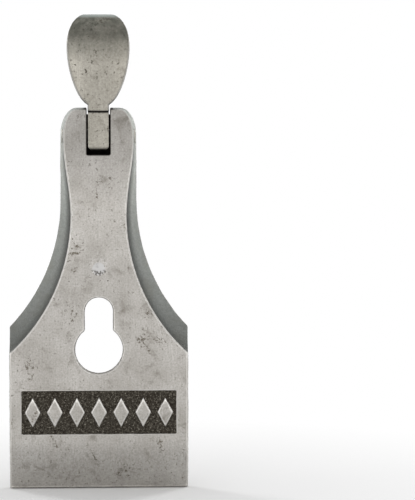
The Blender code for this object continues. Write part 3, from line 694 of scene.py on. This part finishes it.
def makeLever():
    piece = copyNode("cam_lever", "camLever")
    cutCrease(piece)
    softenEdges(piece, lever["voxel"], lever["smoothTurns"])
    roundHub(piece)
    masks = leverMasks(piece)
    masks["edge"] = ramp(roundness(piece), 0.08, 0.24)
    for name, values in masks.items():
        storeMask(piece, name, values)
    storeGroup(piece, "castSkin", np.clip(1 - masks["ground"] - masks["facet"], 0, 1))
    pressGrain(piece, "leverGrain", lever["grainSize"], lever["grainDepth"], 2)
    thinOut(piece, lever["maxTriangles"])
    bpy.ops.object.shade_smooth()
    piece.vertex_groups.clear()
    return piece


def leverMaterial():
    material, tree, shader, vector = newMaterial("leverIron")
    mask = maskNodes(tree, "ground facet bendBack tipRim tipDark low side keel glow crease edge")
    bright = placeGroup(tree, groundGroup, vector, Bright=lever["bright"], Stain=lever["stain"], Pits=1.5)
    cast = placeGroup(tree, castGroup, vector, Top=lever["skinTop"], Low=lever["skinLow"],
                      Brown=lever["brown"], Glints=0.5)
    # behind: painted shade at the root and the tip, a painted highlight along the keel and a painted glow
    # round it
    color = coatNode(tree, mask["low"], 0.70, cast["Color"], lever["paintedShade"])
    color = coatNode(tree, mask["tipDark"], 0.92, color, lever["paintedShade"])
    color = scaleNode(tree, color, rangeNode(tree, mask["glow"], 0.0, 1.0, 1.0, 2.3))
    color = coatNode(tree, mask["keel"], 0.48, color, lever["keel"])
    color = coatNode(tree, mask["edge"], 0.30, color, lever["edge"])
    # a painted highlight on the facet at the tip
    color = coatNode(tree, mask["facet"], 0.9, color, lever["facet"])
    # in front: bright, with blotchy painted shade where it bends back, a painted reflection along the tip's
    # rim, and paler rounded sides
    blotchy = rangeNode(tree, noiseNode(tree, vector, 3.6 * mm, 4.0, 0.70, 0.5), 0.40, 0.60, 0.55, 1.12)
    front = coatNode(tree, mask["bendBack"], blotchy, bright["Color"], lever["bendShade"])
    front = coatNode(tree, mask["tipRim"], 0.8, front, lever["tipRim"])
    front = coatNode(tree, mask["side"], 0.7, front, lever["sidePale"])
    color = mixNode(tree, mask["ground"], color, front)
    # painted shade in the crease
    color = coatNode(tree, mask["crease"], 0.95, color, lever["paintedShade"])
    tree.links.new(color, shader.inputs["Base Color"])
    dull = coatNode(tree, mask["bendBack"], 0.7, bright["Roughness"], (0.62, 0.62, 0.62))
    rough = mixNode(tree, mask["ground"], cast["Roughness"], dull)
    tree.links.new(rough, shader.inputs["Roughness"])
    bare = timesNode(tree, mask["ground"], rangeNode(tree, mask["bendBack"], 0.0, 0.75, 0.95, 0.42))
    bare = timesNode(tree, bare, rangeNode(tree, mask["side"], 0.0, 1.0, 1.0, 0.25))
    tree.links.new(bare, shader.inputs["Metallic"])
    shader.inputs["Specular IOR Level"].default_value = 0.06
    height = mixNode(tree, mask["ground"], cast["Height"], timesNode(tree, bright["Height"], 0.10))
    tree.links.new(bumpNode(tree, height, 0.8, 0.42 * mm), shader.inputs["Normal"])
    return material


leverPiece = makeLever()
finishPiece(leverPiece, "cam_lever", "lever", leverMaterial())

# the flat spring, flecked with rust
spring = {
    "voxel": 0.2 * mm, "smoothTurns": 3, "marginFrom": 6.15 * mm, "marginFull": 9.05 * mm,
    "ringInner": rivetHead + 0.4 * mm, "ringOuter": rivetHead + 1.7 * mm,
    "rubZ": 48.6 * mm, "rubInner": 0.8 * mm, "rubOuter": 3.2 * mm,
    "steel": (0.358, 0.338, 0.298), "stain": (0.12, 0.09, 0.055), "bare": (0.44, 0.43, 0.41),
    "brown": (0.088, 0.036, 0.010), "heart": (0.026, 0.013, 0.008), "ochre": (0.250, 0.178, 0.088),
    "orange": (0.190, 0.086, 0.020), "olive": (0.085, 0.050, 0.023), "ring": (0.062, 0.036, 0.013),
    "contactShade": (0.008, 0.006, 0.005),
}


def makeSpring():
    piece = copyNode("flat_spring", "flatSpring")
    softenEdges(piece, spring["voxel"], spring["smoothTurns"])
    bpy.ops.object.shade_smooth()
    places, normals = readMesh(piece)
    storeMask(piece, "edge", ramp(roundness(piece), 0.05, 0.16))
    storeMask(piece, "margin", ramp(np.abs(places[:, 0]), spring["marginFrom"], spring["marginFull"]))
    storeMask(piece, "under", ramp(-normals[:, 1], 0.3, 0.7))
    return piece


def springMaterial():
    material, tree, shader, vector = newMaterial("springSteel")
    mask = maskNodes(tree, "edge margin under")
    steel = placeGroup(tree, groundGroup, vector, Bright=spring["steel"], Stain=spring["stain"], Pits=0.6)
    rust = placeGroup(tree, rustGroup, vector, Amount=0.64)
    color = coatNode(tree, rust["Stain"], 0.36, steel["Color"], spring["ochre"])
    margin = timesNode(tree, mask["margin"], timesNode(tree, rust["Stain"], 0.5))
    color = mixNode(tree, margin, color, spring["orange"])
    halo = mixNode(tree, rust["Stain"], spring["brown"], spring["orange"])
    color = coatNode(tree, rust["Halo"], 0.36, color, halo)
    color = coatNode(tree, rust["Specks"], 0.92, color, spring["olive"])
    color = coatNode(tree, rust["Rust"], 0.82, color, spring["brown"])
    color = coatNode(tree, rust["Heart"], 0.80, color, spring["heart"])
    # a ring of rust and painted shade round the rivet head, and a bare spot where the cam rubs, painted as a
    # highlight too
    ring = spotNode(tree, vector, rivetZ, spring["ringInner"], spring["ringOuter"])
    ringCover = rangeNode(tree, rust["Specks"], 0.0, 1.0, 0.82, 0.98)
    color = coatNode(tree, ring, ringCover, color, spring["ring"])
    rub = spotNode(tree, vector, spring["rubZ"], spring["rubInner"], spring["rubOuter"])
    clean = rangeNode(tree, rust["Specks"], 0.0, 1.0, 0.72, 0.35)
    color = coatNode(tree, rub, clean, color, spring["bare"])
    # pale edges: bare metal with a painted highlight
    color = coatNode(tree, mask["edge"], 0.80, color, spring["bare"])
    # painted shade where it lies on the cap
    color = coatNode(tree, mask["under"], 0.96, color, spring["contactShade"])
    tree.links.new(color, shader.inputs["Base Color"])
    dull = mathNode(tree, "MAXIMUM", rust["Rust"], mask["under"])
    tree.links.new(rangeNode(tree, dull, 0.0, 1.0, 0.44, 0.85), shader.inputs["Roughness"])
    tree.links.new(rangeNode(tree, dull, 0.0, 1.0, 0.85, 0.0), shader.inputs["Metallic"])
    shader.inputs["Specular IOR Level"].default_value = 0.1
    height = plusNode(tree, timesNode(tree, steel["Height"], 0.15), timesNode(tree, rust["Specks"], -0.4))
    tree.links.new(bumpNode(tree, height, 0.5, 0.15 * mm), shader.inputs["Normal"])
    return material


springPiece = makeSpring()
finishPiece(springPiece, "flat_spring", "spring", springMaterial())

# the rivet that holds the spring
rivet = {
    "sides": 72, "headHeight": 0.9 * mm, "seat": 0.9 * mm, "shankRadius": 1.9 * mm, "tail": 8.6 * mm,
    "endRadius": 2.75 * mm, "endHeight": 1.6 * mm, "bevel": 0.35 * mm,
    "middleY": 8.019 * mm, "front": -0.04 * mm, "frontReach": 1.0 * mm,
    "dish": [(0.45 * mm, -0.06 * mm), (1.2 * mm, -0.03 * mm)],
    "ringInner": 3.40 * mm, "ringOuter": 3.65 * mm, "discInner": 1.55 * mm, "discOuter": 1.95 * mm,
    "pitInner": 2.1 * mm, "pitOuter": 2.5 * mm, "pitTop": rivetZ - 0.1 * mm, "pitFull": rivetZ - 0.8 * mm,
    "metal": (0.30, 0.265, 0.19), "stain": (0.10, 0.072, 0.038), "halo": (0.16, 0.105, 0.040),
    "specks": (0.115, 0.078, 0.034), "rim": (0.50, 0.48, 0.43), "flush": (0.325, 0.315, 0.302),
    "pale": (0.365, 0.36, 0.355), "pit": (0.055, 0.050, 0.043),
}


def extrudeDown(height):
    bpy.ops.mesh.extrude_region_move(TRANSFORM_OT_translate={"value": (0, 0, -height)})


def makeRivet():
    deselectAll()
    bpy.ops.mesh.primitive_cylinder_add(vertices=rivet["sides"], radius=rivetHead, depth=rivet["headHeight"],
                                        location=(0, 0, rivet["seat"] + rivet["headHeight"] / 2))
    piece = bpy.context.object
    piece.name = "springRivet"
    bpy.ops.object.transform_apply(location=True, rotation=False, scale=False)
    bpy.ops.object.mode_set(mode="EDIT")
    bpy.ops.mesh.select_mode(type="FACE")
    bpy.ops.mesh.select_all(action="DESELECT")
    # shank down from the head, then the spread end
    selectFaces(piece, lambda face: face.normal.z < -0.9)
    bpy.ops.mesh.inset(thickness=rivetHead - rivet["shankRadius"], depth=0)
    extrudeDown(rivet["seat"] + rivet["tail"] - rivet["endHeight"])
    extrudeDown(rivet["endHeight"])
    grow = rivet["endRadius"] / rivet["shankRadius"]
    bpy.ops.transform.resize(value=(grow, grow, 1.0))
    # rounded rim and a slightly dished top
    selectFaces(piece, lambda face: face.normal.z > 0.9)
    bpy.ops.mesh.bevel(offset=rivet["bevel"], segments=4, affect="EDGES")
    selectFaces(piece, lambda face: face.normal.z > 0.9 and len(face.vertices) > 8)
    for width, depth in rivet["dish"]:
        bpy.ops.mesh.inset(thickness=width, depth=depth)
    bpy.ops.object.mode_set(mode="OBJECT")
    # lay it along the cap's depth, square to the back, and trim the end flush with the front
    piece.rotation_euler = (math.radians(-90) - math.atan(backSlope), 0, 0)
    piece.location = (0, rivet["middleY"], rivetZ)
    bpy.ops.object.transform_apply(location=True, rotation=True, scale=True)
    bpy.ops.object.mode_set(mode="EDIT")
    bpy.ops.mesh.select_all(action="SELECT")
    bpy.ops.mesh.bisect(plane_co=(0, rivet["front"], 0), plane_no=(0, 1, 0), use_fill=True, clear_inner=True)
    bpy.ops.object.mode_set(mode="OBJECT")
    bpy.ops.object.shade_smooth_by_angle(angle=math.radians(35))
    places = readMesh(piece)[0]
    storeMask(piece, "front", places[:, 1] < rivet["frontReach"])
    return piece


def rivetMaterial():
    material, tree, shader, vector = newMaterial("rivetSteel")
    steel = placeGroup(tree, groundGroup, vector, Bright=rivet["metal"], Stain=rivet["stain"], Pits=1.0)
    rust = placeGroup(tree, rustGroup, vector, Amount=0.60)
    color = coatNode(tree, rust["Halo"], 0.65, steel["Color"], rivet["halo"])
    color = coatNode(tree, rust["Specks"], 0.6, color, rivet["specks"])
    # a painted highlight round the rim of the head
    inside = spotNode(tree, vector, rivetZ, rivet["ringInner"], rivet["ringOuter"])
    color = coatNode(tree, mathNode(tree, "SUBTRACT", 1.0, inside), 0.85, color, rivet["rim"])
    # its end in the front face: a pale disc, pitted along its lower rim
    flush = placeGroup(tree, groundGroup, vector, Bright=rivet["flush"], Stain=cap["stain"], Pits=1.6)
    disc = spotNode(tree, vector, rivetZ, rivet["discInner"], rivet["discOuter"])
    end = mixNode(tree, disc, flush["Color"], rivet["pale"])
    parts = addNode(tree, "ShaderNodeSeparateXYZ")
    tree.links.new(vector, parts.inputs[0])
    below = rangeNode(tree, parts.outputs["Z"], rivet["pitTop"], rivet["pitFull"])
    flecks = rangeNode(tree, noiseNode(tree, vector, 1.0 * mm, 3.0, 0.6, 0.3), 0.46, 0.53)
    around = spotNode(tree, vector, rivetZ, rivet["pitInner"], rivet["pitOuter"])
    pits = timesNode(tree, timesNode(tree, below, flecks), around)
    end = coatNode(tree, pits, 0.85, end, rivet["pit"])
    color = mixNode(tree, maskNode(tree, "front"), color, end)
    tree.links.new(color, shader.inputs["Base Color"])
    tree.links.new(rangeNode(tree, rust["Rust"], 0.0, 1.0, 0.42, 0.65), shader.inputs["Roughness"])
    shader.inputs["Metallic"].default_value = 0.9
    tree.links.new(bumpNode(tree, steel["Height"], 0.25, 0.1 * mm), shader.inputs["Normal"])
    return material


rivetPiece = makeRivet()
finishPiece(rivetPiece, "spring_rivet", "cap", rivetMaterial())

# the pin that the lever turns on
pin = {
    "sides": 48, "radius": 2.0 * mm, "halfLength": 10.25 * mm, "y": 5.2 * mm, "z": 49.0 * mm,
    "bevel": 0.35 * mm, "grimeHalf": 6.0 * mm,
    "steel": (0.27, 0.258, 0.235), "stain": (0.07, 0.058, 0.042), "grime": (0.010, 0.008, 0.007),
}


def makePin():
    deselectAll()
    bpy.ops.mesh.primitive_cylinder_add(vertices=pin["sides"], radius=pin["radius"],
                                        depth=2 * pin["halfLength"], rotation=(0, math.radians(90), 0))
    piece = bpy.context.object
    piece.name = "leverPin"
    piece.location = (0, pin["y"], pin["z"])
    bpy.ops.object.transform_apply(location=True, rotation=True, scale=True)
    selectFaces(piece, lambda face: abs(face.normal.x) > 0.9)
    bpy.ops.mesh.select_mode(type="FACE")
    bpy.ops.mesh.bevel(offset=pin["bevel"], segments=3, affect="EDGES")
    # through object mode and back, which keeps the faces in the same order each run
    bpy.ops.object.mode_set(mode="OBJECT")
    bpy.ops.object.mode_set(mode="EDIT")
    # a ring of edges each side, so that grime can stop short of the ends
    for side in (-1, 1):
        bpy.ops.mesh.select_all(action="SELECT")
        bpy.ops.mesh.bisect(plane_co=(side * pin["grimeHalf"], 0, 0), plane_no=(1, 0, 0))
    bpy.ops.object.mode_set(mode="OBJECT")
    bpy.ops.object.shade_smooth_by_angle(angle=math.radians(35))
    places = readMesh(piece)[0]
    storeMask(piece, "grime", np.abs(places[:, 0]) < pin["grimeHalf"] + 0.1 * mm)
    return piece


def pinMaterial():
    material, tree, shader, vector = newMaterial("pinSteel")
    steel = placeGroup(tree, groundGroup, vector, Bright=pin["steel"], Stain=pin["stain"], Pits=1.2)
    grime = maskNode(tree, "grime")
    color = coatNode(tree, grime, 0.95, steel["Color"], pin["grime"])
    tree.links.new(color, shader.inputs["Base Color"])
    tree.links.new(steel["Roughness"], shader.inputs["Roughness"])
    tree.links.new(rangeNode(tree, grime, 0.0, 1.0, 0.95, 0.1), shader.inputs["Metallic"])
    tree.links.new(bumpNode(tree, steel["Height"], 0.25, 0.1 * mm), shader.inputs["Normal"])
    return material


pinPiece = makePin()
finishPiece(pinPiece, "lever_pin", "cap", pinMaterial())

# floor, light and camera
stage = {
    "floorSize": 8.0, "floorDrop": 0.12 * mm, "floorColor": (0.90, 0.90, 0.90),
    "shadowNear": 0.05, "shadowFar": 0.16, "worldStrength": 0.16, "lampAim": (0, 0, 0.017),
}
# name, place, width, height and power of each soft lamp
lamps = [
    ("frontLeft", (-0.26, -0.55, 0.06), 0.30, 0.30, 0.85),
    ("frontRight", (0.26, -0.55, 0.06), 0.30, 0.30, 0.85),
    ("frontStrip", (0.0, -0.62, -0.01), 0.40, 0.12, 0.25),
    ("leftSide", (-0.62, 0.0, 0.15), 0.40, 0.40, 0.75),
    ("rightSide", (0.62, 0.0, 0.15), 0.40, 0.40, 0.75),
    ("backLeft", (-0.38, 0.42, 0.20), 0.18, 0.18, 1.35),
    ("backRight", (0.38, 0.42, 0.20), 0.18, 0.18, 1.35),
    ("top", (0.0, 0.05, 0.72), 0.5, 0.5, 1.9),
]
camera = {
    "distance": 0.60, "elevation": 3.0, "aimX": 30.4 * mm, "aimZ": 17.2 * mm, "frameHeight": 139.65 * mm,
}


def seenAsBackground(tree):
    path = addNode(tree, "ShaderNodeLightPath").outputs
    mirrored = mathNode(tree, "MAXIMUM", path["Is Glossy Ray"], path["Is Transmission Ray"])
    return mathNode(tree, "MAXIMUM", path["Is Camera Ray"], mirrored)


def makeFloor():
    deselectAll()
    height = cadBox[0][2] - stage["floorDrop"]
    bpy.ops.mesh.primitive_plane_add(size=stage["floorSize"], location=(0, 0, height))
    floor = bpy.context.object
    floor.name = "floor"
    bpy.ops.object.transform_apply(location=True)
    material, tree, shader, vector = newMaterial("paleFloor")
    shader.inputs["Base Color"].default_value = (*stage["floorColor"], 1.0)
    shader.inputs["Roughness"].default_value = 0.9
    shader.inputs["Specular IOR Level"].default_value = 0.1
    # further off, the floor is seen as plain white, like the background
    distance = addNode(tree, "ShaderNodeVectorMath", operation="LENGTH")
    tree.links.new(vector, distance.inputs[0])
    away = rangeNode(tree, distance.outputs["Value"], stage["shadowNear"], stage["shadowFar"])
    white = addNode(tree, "ShaderNodeEmission")
    mix = addNode(tree, "ShaderNodeMixShader")
    tree.links.new(timesNode(tree, away, seenAsBackground(tree)), mix.inputs[0])
    tree.links.new(shader.outputs[0], mix.inputs[1])
    tree.links.new(white.outputs[0], mix.inputs[2])
    tree.links.new(mix.outputs[0], tree.nodes["Material Output"].inputs["Surface"])
    floor.data.materials.append(material)


def makeWorld():
    world = bpy.data.worlds.new("studio")
    scene.world = world
    world.use_nodes = True
    tree = world.node_tree
    back = tree.nodes["Background"]
    back.inputs["Color"].default_value = (1, 1, 1, 1)
    strength = rangeNode(tree, seenAsBackground(tree), 0.0, 1.0, stage["worldStrength"], 1.0)
    tree.links.new(strength, back.inputs["Strength"])


def pointAt(thing, place, aim):
    thing.location = place
    way = Vector(aim) - Vector(place)
    thing.rotation_euler = way.to_track_quat("-Z", "Y").to_euler()


def addLamp(name, place, width, height, power):
    data = bpy.data.lights.new(name, "AREA")
    data.shape = "RECTANGLE"
    data.size = width
    data.size_y = height
    data.energy = power
    lamp = bpy.data.objects.new(name, data)
    scene.collection.objects.link(lamp)
    pointAt(lamp, place, stage["lampAim"])
    lamp.visible_camera = False


def makeCamera():
    data = bpy.data.cameras.new("camera")
    # the sensor's width lies along the tall side
    data.lens = data.sensor_width * camera["distance"] / camera["frameHeight"]
    view = bpy.data.objects.new("camera", data)
    scene.collection.objects.link(view)
    lift = math.radians(camera["elevation"])
    up = camera["aimZ"] + camera["distance"] * math.sin(lift)
    pointAt(view, (0, -camera["distance"] * math.cos(lift), up), (camera["aimX"], 0, camera["aimZ"]))
    scene.camera = view


makeFloor()
makeWorld()
for lampSettings in lamps:
    addLamp(*lampSettings)
makeCamera()
scene.view_settings.view_transform = "Standard"
print("stage, light and camera set")
